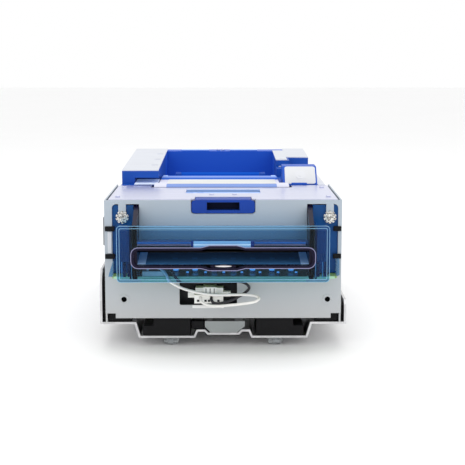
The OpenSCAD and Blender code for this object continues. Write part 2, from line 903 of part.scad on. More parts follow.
module wedge_cover() {
    color("#2a55c4") difference() {
        along_x(62, 97.6) wedge_outline(0);
        along_x(64, 95.6) wedge_outline(2);
    }
}

module wedge_panel() {
    slope = atan2(158.6 - cover_z1, 20);
    color("white") translate([0, -32, cover_z1]) rotate([slope, 0, 0])
        linear_extrude(0.8) round_rect(64.2, 0.6, 96, 25.2, 2.6);
}

module upper_guide() {
    color("#2c2c34") {
        guide_sheet(path_high, path_high + guide_t, 105, 7, pinch_w / 2 + 1);
        both_sides() block([guide_half - 1.5, guide_y0, path_high + 1], [guide_half, guide_y1, 97]);
    }
}

module pivot_pins() {
    color("silver") {
        rod_x(-32, 32, latch_y, latch_z, latch_pin_r);
        rod_x(-52, 46, lid_pin_y, lid_pin_z, lid_pin_r);
    }
}

module cover_screws() {
    rear_top = tower_top(rear_screw_y);
    color("silver") {
        for (x = [-cover_screw_x, cover_screw_x], y = cover_screw_y) {
            rod_z(138, cover_z1, x, y, cover_screw_r);
            rod_z(cover_z1, cover_z1 + 1.4, x, y, 2.4);
        }
        for (x = [-11, 11]) {
            rod_z(cover_z0, cover_z1, x, plate_y + 40, cover_screw_r);
            rod_z(cover_z1, cover_z1 + 1, x, plate_y + 40, 2.4);
        }
        for (x = rear_screw_x) {
            rod_z(rear_top - 4, rear_top + 0.1, x, rear_screw_y, 1);
            rod_z(rear_top + 0.1, rear_top + 1.5, x, rear_screw_y, 2);
        }
    }
}

module pinch_pins() {
    color("silver") for (y = shaft_y) {
        rod_x(-106.5, 106.5, y, pinch_z, pinch_pin_r);
    }
}

module pinch_springs() {
    top = pinch_z + pinch_pin_r;
    color("#c9ccd2") for (x = [-40, 40], y = shaft_y) {
        block([x - 4, y - 26, top], [x + 4, y + 3, top + 0.6]);
        block([x - 4, y - 26, path_high + guide_t], [x + 4, y - 25.2, top + 0.6]);
    }
}

module entry_pinch() {
    color("ivory") roller_set(shaft_y[0], pinch_z, pinch_r, pinch_w, pinch_pin_r + running);
}

module mid_pinch() {
    color("ivory") roller_set(shaft_y[1], pinch_z, pinch_r, pinch_w, pinch_pin_r + running);
}

module exit_pinch() {
    color("ivory") roller_set(shaft_y[2], pinch_z, pinch_r, pinch_w, pinch_pin_r + running);
}

module release_latch() {
    color("#2244a4") difference() {
        union() {
            along_y(plate_y - 1, plate_back - 0.1) round_rect(-29.4, 128.5, 29.4, 140.4, 3);
            block([-26, plate_back - 0.2, 128.8], [26, latch_y - 10, 141]);
            for (x = [-26, 18]) {
                along_x(x, x + 8) {
                    polygon([[latch_y - 10.1, 130.6], [latch_y, 130.6], [latch_y, 137.4],
                             [latch_y - 10.1, 137.4]]);
                    translate([latch_y, latch_z]) circle(3.4);
                }
                block([x, -150, 118], [x + 8, -146, 129]);
            }
        }
        block([-15.2, plate_y - 2, 131.3], [15.2, plate_y + 9, 138.7]);
        rod_x(-27, 27, latch_y, latch_z, latch_pin_r + running);
    }
}

// ---- Access lid ----

module access_lid() {
    z0 = cover_z1 + 0.2;
    color("#c8cdea") difference() {
        union() {
            along_x(-70, 67)
                polygon([[-57.6, z0], [-55.6, z0 + 2], [-34, z0 + 2], [-34, z0]]);
            block([-66, -34 - eps, z0], [58, lid_pin_y, z0 + 2]);
            rod_x(-45.8, 39.8, lid_pin_y, lid_pin_z, lid_pin_z - z0);
        }
        rod_x(-47, 41, lid_pin_y, lid_pin_z, lid_pin_r + running);
        for (x = [-53, 39.8]) {
            block([x, lid_pin_y - 4, 141], [x + 7.2, lid_pin_y + 4, 148]);
        }
        block([-67, lid_pin_y - 4, 141], [-52.2, lid_pin_y + 4, 148]);
        block([46.2, lid_pin_y - 4, 141], [59, lid_pin_y + 4, 148]);
    }
}

module lid_label() {
    color("ivory") translate([0, 0, cover_z1 + 2.2]) linear_extrude(0.3) round_rect(-57, -45, 54, -4, 2);
}

base_tray();
tray_screws();
side_plate_left();
side_plate_right();
front_plate();
rear_panel();
rubber_feet();
skid_blocks();
centre_tongue();
bezel_window();
bezel_body();
note_funnel();
bezel_clips();
side_strip();
led_board();
board_leds();
board_socket();
harness_plug();
white_wire();
black_wire();
corner_screws();
star_washers();
lower_guide();
shaft_bearings();
timing_belt();
drive_motor();
sensor_bar();
control_board();
docking_connector();
latch_catch();
hinge_pins();
side_pad();
entry_shaft();
entry_rollers();
entry_pulley();
mid_shaft();
mid_rollers();
mid_pulley();
thumb_wheel();
exit_shaft();
exit_rollers();
exit_pulley();
motor_pulley();
top_cover();
upper_frame();
upper_housing();
tower_plates();
wedge_cover();
wedge_panel();
upper_guide();
pivot_pins();
cover_screws();
pinch_pins();
pinch_springs();
entry_pinch();
mid_pinch();
exit_pinch();
release_latch();
access_lid();
lid_label();
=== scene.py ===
"""Looks of the bill validator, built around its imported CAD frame. All lengths are in metres."""

import json
import math

import bmesh
import bpy
from mathutils import Matrix, Vector


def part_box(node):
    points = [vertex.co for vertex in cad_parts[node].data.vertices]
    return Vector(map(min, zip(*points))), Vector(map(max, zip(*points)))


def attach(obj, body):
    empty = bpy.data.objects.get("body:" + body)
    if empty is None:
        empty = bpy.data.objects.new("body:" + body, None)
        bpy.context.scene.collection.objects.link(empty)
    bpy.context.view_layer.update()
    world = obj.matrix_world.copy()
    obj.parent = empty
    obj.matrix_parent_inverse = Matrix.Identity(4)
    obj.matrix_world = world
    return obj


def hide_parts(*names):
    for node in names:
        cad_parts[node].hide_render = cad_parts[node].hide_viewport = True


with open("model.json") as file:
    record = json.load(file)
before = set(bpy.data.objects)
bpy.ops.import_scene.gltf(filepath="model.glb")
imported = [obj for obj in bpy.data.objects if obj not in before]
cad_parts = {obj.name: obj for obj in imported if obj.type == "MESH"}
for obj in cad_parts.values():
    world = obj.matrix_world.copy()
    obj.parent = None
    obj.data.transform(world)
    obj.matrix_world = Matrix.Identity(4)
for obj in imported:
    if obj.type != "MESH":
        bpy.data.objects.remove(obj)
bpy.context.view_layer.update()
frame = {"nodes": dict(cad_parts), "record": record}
NODES = frame["nodes"]
MM = 0.001


# ---- Camera ----

LENS_MM = 92.9
CAMERA_PLACE = (0, -1.267, 0.2737)
LOOK_DOWN_DEG = 8.41
ROLL_DEG = 0.45


def add_camera():
    """A long lens in front of the plate, a little above it."""
    data = bpy.data.cameras.new("camera")
    data.lens = LENS_MM
    data.sensor_width = 36
    data.clip_end = 20
    cam = bpy.data.objects.new("camera", data)
    cam.location = CAMERA_PLACE
    cam.rotation_euler = (math.radians(90 - LOOK_DOWN_DEG), 0, math.radians(-ROLL_DEG))
    bpy.context.collection.objects.link(cam)
    bpy.context.scene.camera = cam


# ---- Materials ----

class Shader:
    """A Principled material with object-space textures that feed it."""

    def __init__(self, name, color, rough, metal=0.0, **sockets):
        self.mat = bpy.data.materials.new(name)
        self.mat.use_nodes = True
        self.tree = self.mat.node_tree
        self.bsdf = self.tree.nodes["Principled BSDF"]
        self.color = color
        self.set("Base Color", (*color, 1))
        self.set("Roughness", rough)
        self.set("Metallic", metal)
        for socket, value in sockets.items():
            self.set(socket.replace("_", " "), value)
        self.coords = self.node("ShaderNodeTexCoord").outputs["Object"]
        self.height = None

    def set(self, socket, value):
        self.bsdf.inputs[socket].default_value = value

    def node(self, kind, **values):
        made = self.tree.nodes.new(kind)
        for key, value in values.items():
            if key in made.inputs:
                made.inputs[key].default_value = value
            else:
                setattr(made, key, value)
        return made

    def link(self, a, b):
        self.tree.links.new(a, b)

    def stretched(self, scale):
        """Object coordinates scaled along each axis."""
        mapping = self.node("ShaderNodeMapping")
        mapping.inputs["Scale"].default_value = scale
        self.link(self.coords, mapping.inputs["Vector"])
        return mapping.outputs["Vector"]

    def noise(self, scale, detail=3.0, stretch=(1, 1, 1)):
        tex = self.node("ShaderNodeTexNoise", Scale=scale, Detail=detail)
        self.link(self.stretched(stretch), tex.inputs["Vector"])
        return tex.outputs["Fac"]

    def ramp(self, fac, stops):
        node = self.node("ShaderNodeValToRGB")
        ramp = node.color_ramp
        ramp.elements[0].position = stops[0][0]
        ramp.elements[1].position = stops[-1][0]
        for place, _ in stops[1:-1]:
            ramp.elements.new(place)
        for element, (_, color) in zip(ramp.elements, stops):
            element.color = (*color, 1)
        self.link(fac, node.inputs["Fac"])
        return node.outputs["Color"]

    def vary_color(self, fac, spread, low=0.3, high=0.7):
        """Base colour a little darker and lighter with a texture."""
        dark = [c * (1 - spread) for c in self.color]
        light = [min(1, c * (1 + spread)) for c in self.color]
        self.link(self.ramp(fac, [(low, dark), (high, light)]), self.bsdf.inputs["Base Color"])

    def vary_rough(self, fac, low, high):
        node = self.node("ShaderNodeMapRange")
        node.inputs["To Min"].default_value = low
        node.inputs["To Max"].default_value = high
        self.link(fac, node.inputs["Value"])
        self.link(node.outputs["Result"], self.bsdf.inputs["Roughness"])

    def bump(self, fac, depth, strength=0.5):
        node = self.node("ShaderNodeBump", Strength=strength, Distance=depth)
        self.link(fac, node.inputs["Height"])
        if self.height is not None:
            self.link(self.height, node.inputs["Normal"])
        self.height = node.outputs["Normal"]
        self.link(self.height, self.bsdf.inputs["Normal"])

    def axis(self, name):
        split = self.node("ShaderNodeSeparateXYZ")
        self.link(self.coords, split.inputs["Vector"])
        return split.outputs[name]

    def bands(self, axis, edges, colors):
        """Flat bands of colour along one axis: edges are places in metres."""
        span = edges[-1] - edges[0]
        scaled = self.node("ShaderNodeMapRange")
        scaled.inputs["From Min"].default_value = edges[0]
        scaled.inputs["From Max"].default_value = edges[-1]
        self.link(self.axis(axis), scaled.inputs["Value"])
        stops = [((e - edges[0]) / span, c) for e, c in zip(edges, colors)]
        color = self.ramp(scaled.outputs["Result"], stops)
        color.node.color_ramp.interpolation = "CONSTANT"
        self.link(color, self.bsdf.inputs["Base Color"])
        return color


def satin_sheet_painted_reflection(name, low, high):
    """Satin coat, painted bluer and deeper towards the top of the plate: a painted reflection of the blue
    lens and the sky.
    """
    s = Shader(name, high, 0.42, 0.25)
    height = s.node("ShaderNodeMapRange")
    height.inputs["From Min"].default_value = 28 * MM
    height.inputs["From Max"].default_value = 140 * MM
    s.link(s.axis("Z"), height.inputs["Value"])
    grain = s.node("ShaderNodeMath", operation="MULTIPLY_ADD")
    grain.inputs[1].default_value = 0.08
    s.link(s.noise(30, 3), grain.inputs[0])
    s.link(height.outputs["Result"], grain.inputs[2])
    middle = [(a + b) / 2 for a, b in zip(low, high)]
    s.link(s.ramp(grain.outputs["Value"], [(0.04, low), (0.38, middle), (0.95, high)]),
           s.bsdf.inputs["Base Color"])
    s.vary_rough(s.noise(160, 4, (1, 1, 0.2)), 0.36, 0.5)
    s.bump(s.noise(900, 2), 0.00004, 0.35)
    return s.mat


def bright_sheet(name, color, grain=(1, 14, 1)):
    """Smooth bright sheet metal with a faint rolling grain."""
    s = Shader(name, color, 0.3, 0.85)
    s.vary_color(s.noise(30, 3, grain), 0.06)
    s.vary_rough(s.noise(220, 4, grain), 0.24, 0.38)
    s.bump(s.noise(700, 2, grain), 0.00003, 0.3)
    return s.mat


def galvanised_sheet(name, color):
    """Zinc coat with large faint crystals."""
    s = Shader(name, color, 0.33, 0.9)
    cells = s.node("ShaderNodeTexVoronoi", Scale=120)
    s.link(s.coords, cells.inputs["Vector"])
    s.vary_color(cells.outputs["Color"], 0.1, 0.1, 0.9)
    s.vary_rough(s.noise(90, 4), 0.26, 0.42)
    s.bump(s.noise(500, 3), 0.00004, 0.3)
    return s.mat


def turned_steel(name, color, rough=0.22):
    s = Shader(name, color, rough, 1.0)
    s.vary_color(s.noise(60, 3), 0.06)
    s.vary_rough(s.noise(260, 4, (8, 1, 1)), rough - 0.05, rough + 0.12)
    s.bump(s.noise(800, 2, (10, 1, 1)), 0.00003, 0.3)
    return s.mat


def moulded(name, color, rough=0.42, grain=0.00005, spread=0.05, **sockets):
    """Moulded plastic with a fine spark-eroded grain."""
    s = Shader(name, color, rough, 0.0, **sockets)
    s.vary_color(s.noise(22, 2), spread)
    s.vary_rough(s.noise(120, 3), rough - 0.05, rough + 0.07)
    s.bump(s.noise(1500, 2), grain, 0.4)
    return s.mat


RECESS_WALL_Y = 130 * MM


def housing_blue(name, front, back):
    """Blue moulding whose recess wall at the back is painted brighter than its front faces: painted light
    lifting the shade in the recess.
    """
    s = Shader(name, front, 0.42, 0.0, Specular_IOR_Level=0.2)
    s.bands("Y", [0, RECESS_WALL_Y], [front, back])
    s.vary_rough(s.noise(120, 3), 0.37, 0.49)
    s.bump(s.noise(1500, 2), 0.00005, 0.4)
    return s.mat


def rubbery(name, color, rough=0.7):
    s = Shader(name, color, rough)
    s.vary_color(s.noise(60, 4), 0.12)
    s.bump(s.noise(900, 4), 0.0001, 0.5)
    return s.mat


LENS_BACK_Y = -189 * MM
# Pale band along the lens's top edge: painted highlight.
LENS_TOP_HIGHLIGHT_BAND = (116.3 * MM, 121 * MM)
LENS_CLEAR, FLANGE_CLEAR = 0.985, 0.35


def clear_blue(name, tint, top_highlight_tint, deep):
    """Polished clear moulding: paler along the lens's top edge, a painted highlight there, and deeper in the
    flanges behind.

    The low index keeps what lies behind the lens straight, and the body colour fills its depth.
    """
    s = Shader(name, tint, 0.02, 0.0, IOR=1.12, Coat_Weight=0.15, Coat_Roughness=0.03)
    edges = [60 * MM, *LENS_TOP_HIGHLIGHT_BAND, 140 * MM]
    front = s.bands("Z", edges, [tint, top_highlight_tint, tint, tint])
    behind = s.node("ShaderNodeMath", operation="GREATER_THAN")
    behind.inputs[1].default_value = LENS_BACK_Y
    s.link(s.axis("Y"), behind.inputs[0])
    mix = s.node("ShaderNodeMix", data_type="RGBA")
    s.link(behind.outputs["Value"], mix.inputs["Factor"])
    s.link(front, mix.inputs[6])
    mix.inputs[7].default_value = (*deep, 1)
    s.link(mix.outputs[2], s.bsdf.inputs["Base Color"])
    clear = s.node("ShaderNodeMapRange")
    clear.inputs["To Min"].default_value = LENS_CLEAR
    clear.inputs["To Max"].default_value = FLANGE_CLEAR
    s.link(behind.outputs["Value"], clear.inputs["Value"])
    s.link(clear.outputs["Result"], s.bsdf.inputs["Transmission Weight"])
    s.bump(s.noise(40, 1), 0.00002, 0.12)
    return s.mat


def plated(name, color):
    """Bright zinc plate, mottled, with random dark specks of painted shade standing in for shaded crevices.
    """
    s = Shader(name, color, 0.2, 1.0)
    # Dark end of the ramp: painted shade in place of the shade of crevices.
    specks = s.noise(620, 4)
    s.link(s.ramp(specks, [(0.34, (0.05, 0.05, 0.05)), (0.47, color), (0.7, (0.95, 0.95, 0.93))]),
           s.bsdf.inputs["Base Color"])
    s.vary_rough(s.noise(300, 3), 0.12, 0.35)
    s.bump(specks, 0.00012, 0.6)
    return s.mat


def clear_rubber(name, color):
    s = Shader(name, color, 0.25, 0.0, IOR=1.4, Transmission_Weight=0.75)
    s.vary_color(s.noise(80, 3), 0.06)
    s.bump(s.noise(400, 3), 0.0001, 0.3)
    return s.mat


def board(name, color):
    """Circuit board with faint tracks under its mask."""
    s = Shader(name, color, 0.3, 0.0, Coat_Weight=0.4)
    tracks = s.node("ShaderNodeTexBrick", Scale=160.0)
    s.link(s.coords, tracks.inputs["Vector"])
    lighter = [min(1, c * 1.35) for c in color]
    tracks.inputs["Color1"].default_value = (*color, 1)
    tracks.inputs["Color2"].default_value = (*[c * 0.9 for c in color], 1)
    tracks.inputs["Mortar"].default_value = (*lighter, 1)
    s.link(tracks.outputs["Color"], s.bsdf.inputs["Base Color"])
    s.bump(tracks.outputs["Fac"], 0.00003, 0.3)
    return s.mat


def lamp(name, lit, skirt):
    """Lamp with a glowing dome on a dark skirt."""
    s = Shader(name, lit, 0.15, Emission_Strength=1.0)
    color = s.bands("Z", [60 * MM, 72.7 * MM, 110 * MM], [skirt, lit, lit])
    s.link(color, s.bsdf.inputs["Emission Color"])
    s.vary_rough(s.noise(300, 2), 0.1, 0.25)
    s.bump(s.noise(900, 2), 0.00003, 0.2)
    return s.mat


LID_BANDS_Y = [-57.7, -57.1, -46.4, -45.4, -3.4, -2.6, 19, 37, 60]
LID_STRIP_X, LID_STRIP_HALF = -1.5, 56
LID_MIDDLE_Y = -30


def lid_finish(name):
    """Lid whose lavender-white is a painted reflection of the white studio at a grazing angle: periwinkle
    front strip between its ends, blue, light and dark ones behind; the light one is a painted highlight along
    an edge.

    It has no specular part, because a grazing reflection washes out the strips.
    """
    periwinkle, dark_line, strong = (0.23, 0.33, 0.66), (0.10, 0.18, 0.55), (0.045, 0.14, 0.58)
    # The lavender-white is a painted grazing reflection, and the light band in front of the hinge blue is a
    # painted highlight along an edge.
    white, painted_edge_highlight, hinge_blue = (0.66, 0.67, 0.78), (0.24, 0.33, 0.68), (0.010, 0.095, 0.52)
    colors = [periwinkle, periwinkle, dark_line, white, dark_line, strong, painted_edge_highlight, hinge_blue,
              hinge_blue]
    s = Shader(name, white, 0.35, Specular_IOR_Level=0.0)
    banded = s.bands("Y", [y * MM for y in LID_BANDS_Y], colors)
    inside = s.node("ShaderNodeMath", operation="COMPARE")
    inside.inputs[1].default_value = LID_STRIP_X * MM
    inside.inputs[2].default_value = LID_STRIP_HALF * MM
    s.link(s.axis("X"), inside.inputs[0])
    behind = s.node("ShaderNodeMath", operation="GREATER_THAN")
    behind.inputs[1].default_value = LID_MIDDLE_Y * MM
    s.link(s.axis("Y"), behind.inputs[0])
    either = s.node("ShaderNodeMath", operation="MAXIMUM")
    s.link(inside.outputs["Value"], either.inputs[0])
    s.link(behind.outputs["Value"], either.inputs[1])
    mix = s.node("ShaderNodeMix", data_type="RGBA")
    s.link(either.outputs["Value"], mix.inputs["Factor"])
    mix.inputs[6].default_value = (*white, 1)
    s.link(banded, mix.inputs[7])
    s.link(mix.outputs[2], s.bsdf.inputs["Base Color"])
    s.vary_rough(s.noise(120, 3), 0.3, 0.4)
    s.bump(s.noise(1200, 2), 0.00004, 0.3)
    return s.mat


MATERIALS = {
    "galvanised": galvanised_sheet("galvanised", (0.60, 0.60, 0.61)),
    # The plate's bluer upper colour is a painted reflection; the lower one is its grey coat.
    "plate_paint": satin_sheet_painted_reflection("plate_paint", (0.47, 0.48, 0.49), (0.44, 0.50, 0.56)),
    "cover_sheet": bright_sheet("cover_sheet", (0.66, 0.68, 0.83)),
    "tower_sheet": bright_sheet("tower_sheet", (0.70, 0.73, 0.80)),
    "steel": turned_steel("steel", (0.50, 0.51, 0.53)),
    "chrome": plated("chrome", (0.50, 0.49, 0.46)),
    "blue_plastic": moulded("blue_plastic", (0.008, 0.082, 0.48), Specular_IOR_Level=0.2),
    "housing_blue": housing_blue("housing_blue", (0.008, 0.072, 0.40), (0.013, 0.100, 0.56)),
    "latch_plastic": moulded("latch_plastic", (0.008, 0.052, 0.34), Specular_IOR_Level=0.2),
    "clear_blue": clear_blue("clear_blue", (0.21, 0.46, 0.70), (0.40, 0.70, 0.90),
                             (0.016, 0.11, 0.36)),
    "rim_plastic": moulded("rim_plastic", (0.006, 0.004, 0.020), 0.25, Specular_IOR_Level=0.15),
    "dark_plastic": moulded("dark_plastic", (0.006, 0.008, 0.012), 0.4, Specular_IOR_Level=0.3),
    "black_plastic": moulded("black_plastic", (0.006, 0.006, 0.007), 0.5, Specular_IOR_Level=0.15),
    "white_plastic": moulded("white_plastic", (0.84, 0.84, 0.84), 0.4),
    "cream_plastic": moulded("cream_plastic", (0.88, 0.88, 0.84), 0.45, spread=0.06),
    "roller_rubber": rubbery("roller_rubber", (0.03, 0.03, 0.035)),
    "foot_rubber": clear_rubber("foot_rubber", (0.80, 0.84, 0.86)),
    "belt_rubber": rubbery("belt_rubber", (0.01, 0.01, 0.012)),
    "foam": rubbery("foam", (0.30, 0.31, 0.33), 0.9),
    "board_green": board("board_green", (0.26, 0.44, 0.12)),
    "board_dark": board("board_dark", (0.010, 0.085, 0.035)),
    "led_blue": lamp("led_blue", (0.26, 0.58, 1.0), (0.01, 0.05, 0.12)),
    "bronze": turned_steel("bronze", (0.55, 0.33, 0.12), 0.35),
    "wire_white": moulded("wire_white", (0.86, 0.85, 0.82), 0.4),
    "wire_black": moulded("wire_black", (0.012, 0.012, 0.018), 0.35),
    "label": moulded("label", (0.67, 0.68, 0.67), 0.5, spread=0.03, Specular_IOR_Level=0.1),
    "lid": lid_finish("lid"),
    # Lighter bare metal on rounded edges, partly a painted highlight along them.
    "bare_edge_highlight": bright_sheet("bare_edge_highlight", (0.82, 0.81, 0.76)),
    "slot_insert": moulded("slot_insert", (0.32, 0.50, 0.92), Specular_IOR_Level=0.2),
    # Pale bar whose glow is painted light standing in for a reflection of white; it is no lamp.
    "painted_glow_bar": moulded("painted_glow_bar", (0.92, 0.96, 1.0), 0.3,
                           Emission_Color=(1.0, 0.85, 0.90, 1.0), Emission_Strength=0.5),
    "seam_blue": moulded("seam_blue", (0.26, 0.42, 0.85), 0.3),
    "seam_mauve": moulded("seam_mauve", (0.50, 0.27, 0.38), 0.3),
    # Teal sheet on the funnel whose faint glow is painted light in the slot's shade.
    "funnel_teal": moulded("funnel_teal", (0.06, 0.22, 0.50), 0.15, Emission_Color=(0.002, 0.004, 0.012, 1.0),
                           Emission_Strength=1.0),
    # Blue patches on the funnel: painted reflections of the lamps.
    "painted_lamp_reflection": moulded("painted_lamp_reflection", (0.08, 0.30, 0.75), 0.2),
    "pearl": turned_steel("pearl", (0.80, 0.77, 0.77), 0.32),
    "tongue_sheet": bright_sheet("tongue_sheet", (0.28, 0.30, 0.30)),
    # Light blue lines along the lens's edges: painted highlight.
    "painted_lens_highlight": moulded("painted_lens_highlight", (0.30, 0.62, 0.92), 0.15),
    "gold": turned_steel("gold", (0.78, 0.55, 0.22), 0.25),
    # Pale line round the slot rim: painted highlight.
    "mauve": moulded("mauve", (0.30, 0.30, 0.52), 0.2),
    # Brightened base and faint glow: painted light lifting the shade on the cheeks inside the slot.
    "steel_blue": moulded("steel_blue", (0.40, 0.62, 0.90), 0.35, Emission_Color=(0.012, 0.040, 0.11, 1.0),
                          Emission_Strength=1.0),
    # White sheet with a faint glow on the tower's shaded ledge: painted light in place of its shade.
    "ledge_painted_glow": moulded("ledge_painted_glow", (0.68, 0.74, 0.88), 0.4, Emission_Color=(0.08, 0.12, 0.20, 1.0),
                           Emission_Strength=1.0),
    # Light green is the board edge's own colour; its faint glow is painted light in the shade under the lens.
    "edge_green": moulded("edge_green", (0.38, 0.62, 0.42), 0.4, Emission_Color=(0.03, 0.06, 0.04, 1.0),
                          Emission_Strength=1.0),
    "panel_white": moulded("panel_white", (0.66, 0.67, 0.69), 0.35, Specular_IOR_Level=0.2),
    "fin_blue": moulded("fin_blue", (0.38, 0.62, 0.85), 0.05, IOR=1.1, Transmission_Weight=0.8),
    "deep_navy": moulded("deep_navy", (0.004, 0.016, 0.09), 0.2, Specular_IOR_Level=0.2),
    # Near-black sheets in the latch's pocket: painted shade.
    "pocket_dark": moulded("pocket_dark", (0.003, 0.006, 0.030), 0.6, Specular_IOR_Level=0.1),
    "boss_grey": moulded("boss_grey", (0.66, 0.67, 0.70), 0.4),
}


def give(obj, name):
    """One material on a whole piece."""
    obj.data.materials.clear()
    obj.data.materials.append(MATERIALS[name])


# ---- Cords ----

WIRE_D = 2.6 * MM
WHITE_ROUTE = [
    (-70, -174, 75.6), (-69.8, -174.6, 78), (-66.6, -176.4, 80.2), (-61, -179, 80.4),
    (-55.4, -181.4, 78), (-52.2, -182, 73.6), (-49.6, -180.6, 68), (-39.6, -175.2, 60.8),
    (-25, -171.6, 55.6), (-9, -171, 53), (7, -172.6, 53.4),
    (20, -175.4, 54), (29, -178, 53.6), (33, -182.4, 52), (29, -187, 49.8), (20, -187.6, 48.2),
    (8, -183.6, 46), (-4, -178.6, 44), (-14, -175.4, 44), (-20, -173.4, 46.8), (-21, -170.6, 49.4),
    (-21, -168.6, 50),
]
BLACK_ROUTE = [
    (-58, -174, 75.6), (-57.4, -174.8, 78), (-53.2, -177.4, 80), (-48, -180, 78),
    (-44.8, -180.8, 72.6), (-40.4, -178.2, 67.2),
    (-33, -173, 65.4), (-20, -171.4, 64.8), (-3, -171.4, 65.2), (10, -172, 66), (19, -173, 65),
    (24, -173.6, 60.6), (21, -172.6, 56), (14, -171, 51), (6, -170.8, 47.2), (-3, -171.2, 45),
    (-9, -172.2, 45.8), (-11, -171, 48.6), (-11, -168.6, 50),
]


def curve_point(a, b, c, d, t):
    """A point between b and c on the smooth curve through a, b, c and d."""
    return 0.5 * (2 * b + (c - a) * t + (2 * a - 5 * b + 4 * c - d) * t * t
                  + (3 * b - a - 3 * c + d) * t ** 3)


def smooth_route(route, steps):
    p = [Vector(q) * MM for q in route]
    out = []
    for i in range(len(p) - 1):
        four = p[max(i - 1, 0)], p[i], p[i + 1], p[min(i + 2, len(p) - 1)]
        out += [curve_point(*four, k / steps) for k in range(steps)]
    return out + [p[-1]]


def add_wire(name, route, node, material):
    """An insulated wire along its route, as a round curve."""
    line = smooth_route(route, 8)
    data = bpy.data.curves.new(name, "CURVE")
    data.dimensions = "3D"
    data.bevel_depth = WIRE_D / 2
    data.bevel_resolution = 5
    data.use_fill_caps = True
    spline = data.splines.new("POLY")
    spline.points.add(len(line) - 1)
    for point, place in zip(spline.points, line):
        point.co = (*place, 1)
    obj = bpy.data.objects.new(name, data)
    bpy.context.collection.objects.link(obj)
    data.materials.append(MATERIALS[material])
    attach(obj, "chassis")
    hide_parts(node)


add_camera()
add_wire("white_wire_lead", WHITE_ROUTE, "white_wire", "wire_white")
add_wire("black_wire_lead", BLACK_ROUTE, "black_wire", "wire_black")


# ---- CAD nodes: rounded edges and finishes ----

EDGE_MM = {
    "base_tray": 0.5, "front_plate": 0.35, "top_cover": 0.35, "side_plate_left": 0.6,
    "side_plate_right": 0.6, "bezel_window": 0.8, "bezel_body": 0.7, "upper_housing": 0.9,
    "wedge_cover": 1.2, "release_latch": 0.9, "access_lid": 0.7, "skid_blocks": 1.0,
    "rubber_feet": 0.4, "centre_tongue": 0.4, "harness_plug": 0.5, "tower_plates": 0.3,
    "docking_connector": 0.5, "drive_motor": 0.6, "corner_screws": 0.3, "cover_screws": 0.3,
    "star_washers": 0.15, "hinge_pins": 0.5, "bezel_clips": 0.5, "thumb_wheel": 0.3,
    "led_board": 0.1, "lid_label": 0.08, "pinch_springs": 0.1, "side_strip": 0.2,
}


def round_edges(obj, width, edge_material=None):
    """Small round on every sharp edge, which may show the bare metal in a lighter colour that is also a
    painted highlight along the edge.

    Coplanar triangles are merged first, because a bevel leaves streaks along their long thin ones.
    """
    weld = obj.modifiers.new("weld", "WELD")
    weld.merge_threshold = 0.00001
    planar = obj.modifiers.new("planar", "DECIMATE")
    planar.decimate_type = "DISSOLVE"
    planar.angle_limit = math.radians(0.5)
    bevel = obj.modifiers.new("bevel", "BEVEL")
    bevel.width = width
    bevel.segments = 2
    bevel.limit_method = "ANGLE"
    bevel.angle_limit = math.radians(35)
    bevel.use_clamp_overlap = True
    if edge_material:
        obj.data.materials.append(MATERIALS[edge_material])
        bevel.material = 1


# Pieces whose rounded edges take the lighter bare-metal colour, partly a painted highlight.
BARE_HIGHLIGHT_EDGED = ("front_plate", "side_plate_left", "side_plate_right", "top_cover", "base_tray")


def finish_cad_nodes():
    """Each CAD node takes the finish of its record slot, and a rounded edge."""
    slots = {s["node"]: s["material_slot"] for s in frame["record"]["subparts"]}
    for name, obj in NODES.items():
        give(obj, slots[name])
        if name not in ("white_wire", "black_wire"):
            edge = "bare_edge_highlight" if name in BARE_HIGHLIGHT_EDGED else None
            round_edges(obj, EDGE_MM.get(name, 0.25) * MM, edge)
    give(NODES["access_lid"], "lid")
    give(NODES["upper_housing"], "housing_blue")
    give(NODES["cover_screws"], "cover_sheet")
    give(NODES["centre_tongue"], "tongue_sheet")
    give(NODES["wedge_panel"], "panel_white")
    give(NODES["side_strip"], "panel_white")


finish_cad_nodes()


# ---- Mesh helpers: shapes in millimetres, pieces in metres ----

def add_box(bm, low, high):
    made = bmesh.ops.create_cube(bm, size=1)["verts"]
    size = [b - a for a, b in zip(low, high)]
    bmesh.ops.scale(bm, vec=size, verts=made)
    bmesh.ops.translate(bm, vec=[(a + b) / 2 for a, b in zip(low, high)], verts=made)


def add_rod(bm, axis, start, length, radius, end_radius=None, sides=24):
    """A round bar, or a cone, from its start along +X, +Y or +Z."""
    tip = radius if end_radius is None else end_radius
    made = bmesh.ops.create_cone(bm, cap_ends=True, segments=sides, radius1=radius, radius2=tip,
                                 depth=length)["verts"]
    along = Vector([float(axis == name) for name in "XYZ"])
    turn = Vector((0, 0, 1)).rotation_difference(along).to_matrix()
    bmesh.ops.rotate(bm, cent=(0, 0, 0), matrix=turn, verts=made)
    bmesh.ops.translate(bm, vec=Vector(start) + along * length / 2, verts=made)


def add_piece(name, bm, body, material, edge=0.0):
    """Turn a mesh into a piece that rides on a body and takes a finish."""
    bmesh.ops.scale(bm, vec=(MM, MM, MM), verts=bm.verts)
    bmesh.ops.recalc_face_normals(bm, faces=bm.faces)
    mesh = bpy.data.meshes.new(name)
    bm.to_mesh(mesh)
    bm.free()
    obj = bpy.data.objects.new(name, mesh)
    bpy.context.collection.objects.link(obj)
    mesh.materials.append(MATERIALS[material])
    if edge:
        round_edges(obj, edge * MM)
    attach(obj, body)
    return obj


def add_boxes(name, body, material, boxes, edge=0.2):
    bm = bmesh.new()
    for low, high in boxes:
        add_box(bm, low, high)
    return add_piece(name, bm, body, material, edge)


def add_rods(name, body, material, rods, edge=0.15):
    bm = bmesh.new()
    for rod in rods:
        add_rod(bm, *rod)
    return add_piece(name, bm, body, material, edge)


